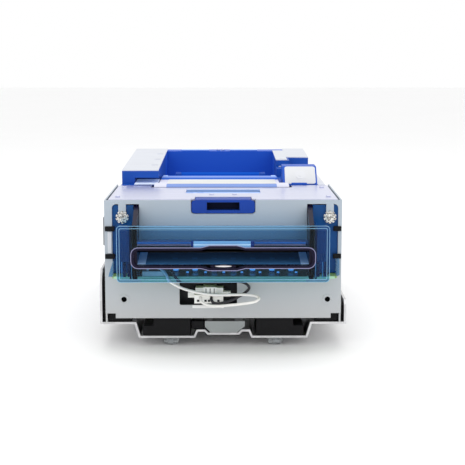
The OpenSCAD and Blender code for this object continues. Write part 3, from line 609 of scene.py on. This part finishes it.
def corner_arc(x, z, radius, first_deg):
    """Points of a quarter circle round (x, z)."""
    turns = [math.radians(first_deg + 90 * i / 6) for i in range(7)]
    return [(x + radius * math.cos(a), z + radius * math.sin(a)) for a in turns]


def slot_path(half, z0, z1, radius, swell=0.0):
    """Round-cornered outline, anticlockwise, with a swelling at the middle of both long sides."""
    low = [(-20, z0), (-12.5, z0 - swell), (12.5, z0 - swell), (20, z0)]
    high = [(20, z1), (12.5, z1 + swell), (-12.5, z1 + swell), (-20, z1)]
    return (corner_arc(-half + radius, z0 + radius, radius, 180) + low
            + corner_arc(half - radius, z0 + radius, radius, 270)
            + corner_arc(half - radius, z1 - radius, radius, 0) + high
            + corner_arc(-half + radius, z1 - radius, radius, 90))


def add_ribbon(bm, outer, inner, y0, y1):
    """A flat ring between two outlines with the same number of points."""
    count = len(outer)
    rings = [[bm.verts.new((x, y, z)) for x, z in path]
             for path, y in ((outer, y0), (inner, y0), (inner, y1), (outer, y1))]
    for i in range(count):
        j = (i + 1) % count
        for ring, following in zip(rings, rings[1:] + rings[:1]):
            bm.faces.new((ring[i], ring[j], following[j], following[i]))


# ---- Bezel details ----

LENS_FRONT = -193.4


def add_lens_lines():
    """Painted highlights: a light line along the lens's polished border, and the fine line round the slot
    rim.
    """
    bm = bmesh.new()
    for inset, width in ((0.1, 0.3), (2.4, 0.3)):
        paths = [slot_path(96.8 - d, 69 + d, 121 - d, 3.5 - min(d, 2.4)) for d in (inset, inset + width)]
        add_ribbon(bm, *paths, LENS_FRONT - 0.08, LENS_FRONT + 0.3)
    add_piece("lens_highlight_border", bm, "chassis", "painted_lens_highlight")
    bm = bmesh.new()
    paths = [slot_path(83.4 + d, 82.3 - d, 100.5 + d, 6 + d, 2) for d in (0.75, 0.1)]
    add_ribbon(bm, *paths, LENS_FRONT - 0.12, LENS_FRONT + 0.3)
    add_piece("rim_highlight_line", bm, "chassis", "mauve")


def add_slab(bm, x0, x1, front, back, depth):
    """A slanting slab between two lines along X, each given as (y, z) of its upper face."""
    corners = [(x, y, z - d) for y, z in (front, back) for d in (0, depth) for x in (x0, x1)]
    v = [bm.verts.new(c) for c in corners]
    for face in ((0, 1, 5, 4), (2, 6, 7, 3), (0, 2, 3, 1), (4, 5, 7, 6), (0, 4, 6, 2), (1, 3, 7, 5)):
        bm.faces.new([v[i] for i in face])


FUNNEL_FRONT = (-185.8, 84.8)
FUNNEL_BACK = (-146, 89.5)


def add_slot_details():
    """Pale bar over the slot, its glow painted light, with its posts and seams; the funnel's teal sheet and
    side cheeks, each with a faint glow of painted light; painted reflections of the lamps on the funnel; and
    the sensor.
    """
    bar = [((-27, -190, 100.7), (25, -188.6, 106.3))]
    # The bar's glow is painted light.
    add_boxes("slot_light_guide", "chassis", "painted_glow_bar", bar, 0.3)
    posts = [((-29.2, -190, 100.7), (-27.1, -187.6, 106.5)), ((25.1, -190, 100.7), (28.2, -187.6, 106.5))]
    add_boxes("light_guide_posts", "chassis", "latch_plastic", posts, 0.3)
    for name, material, z0, z1 in (("deck_seam_low", "seam_mauve", 102.5, 103.7),
                                   ("deck_seam_mid", "seam_blue", 104.2, 105.6),
                                   ("deck_seam_top", "seam_mauve", 106.2, 106.7)):
        seams = [((-78, -190, z0), (-29.3, -189.2, z1)), ((28.3, -190, z0), (75, -189.2, z1))]
        add_boxes(name, "chassis", material, seams, 0.1)
    bm = bmesh.new()
    # Teal sheet whose faint glow is painted light in the shaded funnel.
    add_slab(bm, -71, 71, FUNNEL_FRONT, FUNNEL_BACK, 0.3)
    add_piece("funnel_glow_sheet", bm, "chassis", "funnel_teal")
    # Cheeks with a faint glow of painted light in the slot's shade.
    bm = bmesh.new()
    for x in (-78.3, 71.1):
        add_slab(bm, x, x + 7.2, (-185.8, 85.1), (-146, 89.8), 0.6)
    add_piece("slot_cheeks", bm, "chassis", "steel_blue", 0.1)
    # Blue patches on the funnel: painted reflections of the lamps.
    slope = (FUNNEL_BACK[1] - FUNNEL_FRONT[1]) / (FUNNEL_BACK[0] - FUNNEL_FRONT[0])
    bm = bmesh.new()
    for i in range(7):
        x = -44.6 + 18.05 * i
        high = FUNNEL_FRONT[1] + slope * 18 + 0.05
        add_slab(bm, x - 2.4, x + 2.4, (-169, high - slope * 1.2), (-165.4, high + slope * 2.4), 0.2)
    add_piece("funnel_lamp_reflections", bm, "chassis", "painted_lamp_reflection", 0.1)
    bm = bmesh.new()
    add_ribbon(bm, slot_path(11.5, 82.5, 85.2, 1.2), slot_path(8.3, 83, 84.8, 0.8), -193.9, -190)
    add_piece("slot_sensor_bezel", bm, "chassis", "rim_plastic")
    bm = bmesh.new()
    bmesh.ops.create_uvsphere(bm, u_segments=32, v_segments=16, radius=1)
    bmesh.ops.scale(bm, vec=(8.2, 1.6, 1.5), verts=bm.verts)
    bmesh.ops.translate(bm, vec=(0.3, -192.4, 83.9), verts=bm.verts)
    add_piece("slot_sensor_lens", bm, "chassis", "pearl")


def add_fin(bm, outline, y0, y1):
    """A plate with any outline of (x, z) points between two depths."""
    rings = [[bm.verts.new((x, y, z)) for x, z in outline] for y in (y0, y1)]
    for ring in rings:
        bm.faces.new(ring)
    for i in range(len(outline)):
        j = (i + 1) % len(outline)
        bm.faces.new((rings[0][i], rings[0][j], rings[1][j], rings[1][i]))


def add_bezel_wings():
    """Clear fins at the bezel's lower corners, posts in its flanges and the board's front lip."""
    bm = bmesh.new()
    add_fin(bm, [(-102.2, 86), (-106.8, 71), (-107.2, 68.8), (-102.2, 68.8)], -163.4, -162.2)
    add_fin(bm, [(105, 86), (108.6, 86), (108.8, 70), (105, 68.8)], -163.4, -162.2)
    add_piece("bezel_fins", bm, "chassis", "fin_blue", 0.2)
    posts = [((x, -187, 73), (x + 2.6, -184, 86.4)) for x in (-91.6, -87.4, 85.6, 92)]
    add_boxes("flange_posts", "chassis", "deep_navy", posts, 0.3)
    # Light streaks in the flanges: painted highlights.
    lights = [((x, -188, 72), (x + 0.7, -187.2, 87)) for x in (-92.8, -84, 84, 90.4)]
    add_boxes("flange_highlight_streaks", "chassis", "painted_lens_highlight", lights, 0.1)
    # The lip's faint glow is painted light; its green is the board edge's own.
    lip = [((-101, -177.5, 69.3), (103, -177, 71.6)), ((-76, -178, 67.4), (76, -177, 69.6))]
    add_boxes("board_front_lip", "chassis", "edge_green", lip, 0.1)


def add_lamp_board_parts():
    """Chip parts and solder pads on the lamp board."""
    chips = []
    pads = []
    for i in range(13):
        x = -48 + 11.6 * i
        chips.append(((x, -146, 71.4), (x + 3, -144, 72.5)))
        pads += [((x - 0.7, -146, 71.4), (x, -144, 72.2)), ((x + 3, -146, 71.4), (x + 3.7, -144, 72.2))]
    for x in (-86, -80, 88, 96):
        chips.append(((x, -168, 71.4), (x + 3.2, -164, 73)))
        pads.append(((x + 0.4, -169, 71.4), (x + 2.8, -163, 72)))
    add_boxes("lamp_board_chips", "chassis", "black_plastic", chips, 0.1)
    add_boxes("lamp_board_pads", "chassis", "chrome", pads, 0.05)


def add_plate_details():
    """Tape patch under the plug, and the plug's contact windows."""
    bm = bmesh.new()
    add_box(bm, (-29, -162.14, 38.6), (0.5, -162, 41.4))
    add_box(bm, (-29, -162.2, 38.9), (-22, -162.05, 41.4))
    add_piece("tape_patch", bm, "chassis", "white_plastic", 0.03)
    windows = [((x, -169.15, 46), (x + 2.2, -168.9, 48)) for x in (-24.5, -17.6, -14.4, -5.6)]
    windows += [((x, -168.75, 53.6), (x + 0.7, -168.5, 58.6)) for x in (-16.4, -12.6, -8.8)]
    add_boxes("plug_windows", "chassis", "dark_plastic", windows, 0.04)


add_lens_lines()
add_slot_details()
add_bezel_wings()
add_lamp_board_parts()
add_plate_details()


# ---- Upper unit details ----

def add_latch_pocket():
    """Dark sheets lining the latch's finger slot: painted shade in the pocket."""
    walls = [((-15, -154.4, 131.5), (15, -153.2, 138.5)), ((-15, -162.8, 138.3), (15, -153.2, 138.6)),
             ((-15.1, -162.4, 131.4), (-14.8, -153.2, 138.5)), ((14.8, -162.4, 131.4), (15.1, -153.2, 138.5)),
             ((-12, -155.2, 134), (12, -154.3, 137.4))]
    add_boxes("latch_pocket_shade_sheets", "latch", "pocket_dark", walls, 0.05)


def add_cover_details():
    """Light blue moulding round the cover's slot, and bright sheet on the deck by the wedge."""
    parts = [((-36.2, -108.8, 140), (36.2, -100.4, 141.1)), ((-36.3, -87.6, 135.4), (36.3, -86.9, 142.1)),
             ((-36.3, -87.6, 141.2), (36.3, -85.4, 142.1))]
    parts += [((x, -107, 141.1), (x + 6, -104, 141.5)) for x in (-35, -25)]
    add_boxes("cover_slot_insert", "upper_unit", "slot_insert", parts, 0.2)
    deck = [((97.8, -37.4, 141.2), (104.8, 173, 141.6)), ((72, 11.2, 141.2), (97.8, 99.8, 141.6))]
    add_boxes("deck_sheet", "upper_unit", "tower_sheet", deck, 0.1)
    # Glowing white sheet on the ledge: painted light over the shade under the notch's ceiling.
    film = [((-91.4, -40, 142.2), (-67.6, 12, 142.5)), ((-88, -40, 142.5), (-84, -38, 142.9))]
    add_boxes("ledge_glow_sheet", "upper_unit", "ledge_painted_glow", film, 0.1)


def add_wedge_details():
    """Plain round boss on the wedge's white panel, and the blue clip at its foot."""
    slope = math.atan2(17.4, 20)
    bm = bmesh.new()
    for radius, depth in ((6.4, 0.9), (5.2, 1.15), (2.2, 1.35)):
        add_rod(bm, "Z", (80.2, 12.4, 0), depth, radius, radius - 0.3, 40)
    turn = Matrix.Rotation(slope, 3, "X")
    bmesh.ops.rotate(bm, cent=(0, 0, 0), matrix=turn, verts=bm.verts)
    bmesh.ops.translate(bm, vec=(0, -32, 141.2), verts=bm.verts)
    add_piece("wedge_boss", bm, "upper_unit", "boss_grey")
    clip = [((70.5, -37.2, 141.2), (86.4, -33.4, 143.4)), ((68, -37.2, 141.2), (70.5, -34.6, 142.2)),
            ((86.4, -36, 141.2), (89, -33.4, 142))]
    add_boxes("wedge_clip", "upper_unit", "blue_plastic", clip, 0.3)
    tab = [((62, 66, 150.2), (71, 71.6, 151.2)), ((64, 84, 157.6), (70, 92, 158.6))]
    add_boxes("tower_tabs", "upper_unit", "tower_sheet", tab, 0.2)


def add_tower_details():
    """Ribs and a louvre on the tower's back, and raised strips on its rear wall."""
    louvres = [((x, 193.2, 146 + 3 * i), (x + 26, 193.95, 147.4 + 3 * i))
               for x in (-96, -50, 8) for i in range(3)]
    add_boxes("tower_louvres", "upper_unit", "latch_plastic", louvres, 0.3)
    strips = [((x, 176.6, 160.2), (x + 33, 189.4, 160.65)) for x in (-50, 8)]
    add_boxes("rear_wall_strips", "upper_unit", "slot_insert", strips, 0.1)
    ribs = [((x, 176.3, 102), (x + 1.6, 177.6, 136)) for x in range(-90, 91, 20)]
    add_boxes("rear_skirt_ribs", "upper_unit", "blue_plastic", ribs, 0.4)


def add_lid_details():
    """Printed line round the label, and the small stops at the lid's rear corners."""
    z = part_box("lid_label")[1][2] / MM
    lines = [((x, -45.4, z - 0.1), (x + 0.6, -3.8, z + 0.05)) for x in (-57.4, 53.8)]
    lines.append(((-57.4, -4.2, z - 0.1), (54.4, -3.8, z + 0.05)))
    add_boxes("label_line", "lid", "boss_grey", lines, 0)
    stops = [((x, 26, z - 0.4), (x + 5, 40, z + 0.1)) for x in (-65, 52)]
    add_boxes("lid_stops", "lid", "slot_insert", stops, 0.1)


add_latch_pocket()
add_cover_details()
add_wedge_details()
add_tower_details()
add_lid_details()


# ---- Inside and rear details ----

def add_control_board_parts():
    """Chip bodies with legs, can tops, a pin header and a heat sink on the control board."""
    chips = [((-60.3, y - 0.3, 44.6), (-29.7, y + 30.3, 45.6)) for y in (-70, -20, 30)]
    chips.append(((-10.3, -60.3, 43.6), (20.3, -29.7, 44.5)))
    add_boxes("control_chips", "chassis", "black_plastic", chips, 0.2)
    legs = []
    for y in (-70, -20, 30):
        for i in range(10):
            for x in (-62, -30):
                legs.append(((x, y + 1.2 + 3 * i, 41.6), (x + 2, y + 2.2 + 3 * i, 43.4)))
    for i in range(8):
        for y in (-62, -30):
            legs.append(((-8.6 + 3.6 * i, y, 41.6), (-7.4 + 3.6 * i, y + 2, 43)))
    add_boxes("chip_legs", "chassis", "steel", legs, 0.05)
    cans = [("Z", (10, y, 56), 0.5, 4.6) for y in (0, 16, 32)]
    cans += [("Z", (24, y, 41.6), 7, 2.4) for y in (60, 70, 80, 90)]
    add_rods("board_cans", "chassis", "steel", cans, 0.2)
    fins = [((-20 + 4 * i, 60, 41.6), (-18.6 + 4 * i, 100, 54)) for i in range(8)]
    fins.append(((-20, 60, 41.6), (9.4, 100, 43.4)))
    add_boxes("board_heat_sink", "chassis", "steel", fins, 0.15)
    pins = [("Z", (-66 + 4 * i, 133, 50), 1.6, 0.5, 0.3, 8) for i in range(24)]
    add_rods("board_header_pins", "chassis", "gold", pins, 0)


def add_motor_parts():
    """Seam rings, end screws and terminals of the drive motor, and its mounting ears."""
    rings = [("X", (x, 40, 57), 1.2, 13.35, None, 48) for x in (47, 64, 80)]
    rings += [("X", (45.2, 40 + 9 * math.cos(a), 57 + 9 * math.sin(a)), 1.2, 1.5)
              for a in (0.8, 2.4, 3.9, 5.5)]
    add_rods("motor_rings", "chassis", "chrome", rings, 0.15)
    parts = [((42.4, 36, 46), (46.2, 37.6, 50)), ((42.4, 42.4, 46), (46.2, 44, 50))]
    parts += [((81, 27, z), (84, 53, z + 2)) for z in (30, 66)]
    add_boxes("motor_terminals", "chassis", "bronze", parts, 0.15)


def add_dock_contacts():
    """Two rows of gold contacts in the docking connector."""
    contacts = []
    for i in range(15):
        x = -28.6 + 4 * i
        contacts += [((x, 184, z), (x + 1.6, 192.4, z + 0.7)) for z in (53.1, 62.2)]
    add_boxes("dock_contacts", "chassis", "gold", contacts, 0.08)


def add_side_details():
    """Rivets and a raised band on each side plate, and the screws of the rear panel."""
    rivets = []
    for y in (-140, -90, -36, 70, 112, 168):
        rivets.append(("X", (110.5, y, 104), 0.7, 2.2, 1.6))
        rivets.append(("X", (-111.2, y, 104), 0.7, 1.6, 2.2))
    rivets += [("Y", (x, 189.5, z), 1.3, 2.6, 2.2) for x in (-100, 100) for z in (32, 72)]
    add_rods("side_rivets", "chassis", "chrome", rivets, 0.1)
    bands = []
    for x in (-110.9, 110.4):
        bands += [((x, -120, 63.4), (x + 0.5, 160, 64.6)), ((x, -120, 67.4), (x + 0.5, 160, 68.2))]
    add_boxes("side_plate_beads", "chassis", "plate_paint", bands, 0.15)


def add_rear_details():
    """Blank rating film and edge beads on the rear panel."""
    film = [((50, 189.5, 40), (92, 189.62, 68)), ((52, 189.6, 64), (90, 189.68, 66)),
            ((52, 189.6, 42), (90, 189.68, 42.6))]
    add_boxes("rear_film", "chassis", "label", film, 0.02)


def add_belt_teeth():
    """Teeth on the inside of the belt's two straight runs."""
    teeth = []
    for i in range(66):
        y = -115 + 3.15 * i
        teeth += [((97.8, y, 71.55), (101.2, y + 1.4, 72.1)), ((97.8, y, 89.7), (101.2, y + 1.4, 90.25))]
    add_boxes("belt_teeth", "chassis", "belt_rubber", teeth, 0)


SHAFTS = (("entry", -117), ("mid", -12), ("exit", 93))


def add_roller_details():
    """Hub discs, spokes and collars that turn with the feed rollers."""
    for name, y in SHAFTS:
        hubs = []
        for x in (-58, -22, 22, 58):
            hubs += [("X", (x + side, y, 80.9), 0.8, 6.4) for side in (-7.8, 7)]
            hubs += [("X", (x + side, y, 80.9), 1.6, 4.4) for side in (-9.4, 7.8)]
        add_rods(name + "_roller_hubs", name + "_drive", "cream_plastic", hubs, 0.2)
        marks = []
        for i in range(6):
            turn = math.radians(60 * i)
            middle = (y + 6 * math.cos(turn), 80.9 + 6 * math.sin(turn))
            marks.append(("X", (102, *middle), 0.35, 1.3))
        marks.append(("X", (102, y, 80.9), 0.8, 4.2))
        add_rods(name + "_pulley_face", name + "_drive", "steel", marks, 0.1)
    for name, y in SHAFTS:
        caps = [("X", (x + side, y, 99.3), 0.5, 4.2) for x in (-58, -22, 22, 58) for side in (-5.5, 5)]
        add_rods(name + "_pinch_caps", name + "_idler", "white_plastic", caps, 0.12)


def add_guide_details():
    """Sensor windows in both guides and chips on the sensor bar."""
    rows = (("lower_sensor_windows", "chassis", 90.1), ("upper_sensor_windows", "upper_unit", 93.6))
    for name, body, z in rows:
        eyes = [("Z", (x, -77, z), 0.12, 2.2) for x in range(-72, 73, 16)]
        add_rods(name, body, "led_blue", eyes, 0)
    chips = [((x, -83, 79.2), (x + 4, -79, 80)) for x in range(-74, 75, 16)]
    add_boxes("sensor_bar_chips", "chassis", "black_plastic", chips, 0.1)


def add_feet_details():
    """Screw heads inside the clear feet, and grip rings round them."""
    screws = []
    for x in (-50, 50):
        for y in (-142, 165):
            screws += [("Z", (x, y, 11), 1.6, 3.2, 2.6), ("Z", (x, y, 1.6), 3, 2.6)]
    add_rods("foot_screws", "chassis", "steel", screws, 0.2)


add_control_board_parts()
add_motor_parts()
add_dock_contacts()
add_side_details()
add_rear_details()
add_belt_teeth()
add_roller_details()
add_guide_details()
add_feet_details()


# ---- Studio ----

def add_floor():
    bm = bmesh.new()
    bmesh.ops.create_grid(bm, x_segments=4, y_segments=4, size=9)
    mesh = bpy.data.meshes.new("floor")
    bm.to_mesh(mesh)
    bm.free()
    floor = bpy.data.objects.new("floor", mesh)
    bpy.context.collection.objects.link(floor)
    mat = Shader("floor_white", (0.95, 0.95, 0.95), 0.7)
    mat.vary_color(mat.noise(3, 2), 0.005)
    mesh.materials.append(mat.mat)


def add_area_light(name, place, target, size, power):
    data = bpy.data.lights.new(name, "AREA")
    data.shape = "RECTANGLE"
    data.size, data.size_y = size
    data.energy = power
    light = bpy.data.objects.new(name, data)
    light.location = place
    light.rotation_euler = (Vector(target) - Vector(place)).to_track_quat("-Z", "Y").to_euler()
    bpy.context.collection.objects.link(light)


def add_studio():
    world = bpy.data.worlds.new("studio")
    world.use_nodes = True
    world.node_tree.nodes["Background"].inputs["Color"].default_value = (1, 1, 1, 1)
    world.node_tree.nodes["Background"].inputs["Strength"].default_value = 1.0
    bpy.context.scene.world = world
    add_floor()
    add_area_light("top_light", (0, 0.1, 1.7), (0, 0, 0.1), (1.6, 1.6), 9)
    add_area_light("front_left", (-0.9, -1.5, 1.1), (0, 0, 0.1), (1.0, 0.8), 2.5)
    add_area_light("front_right", (1.0, -1.3, 0.9), (0, 0, 0.1), (0.8, 0.8), 2)


add_studio()
bpy.context.scene.view_settings.view_transform = "Standard"
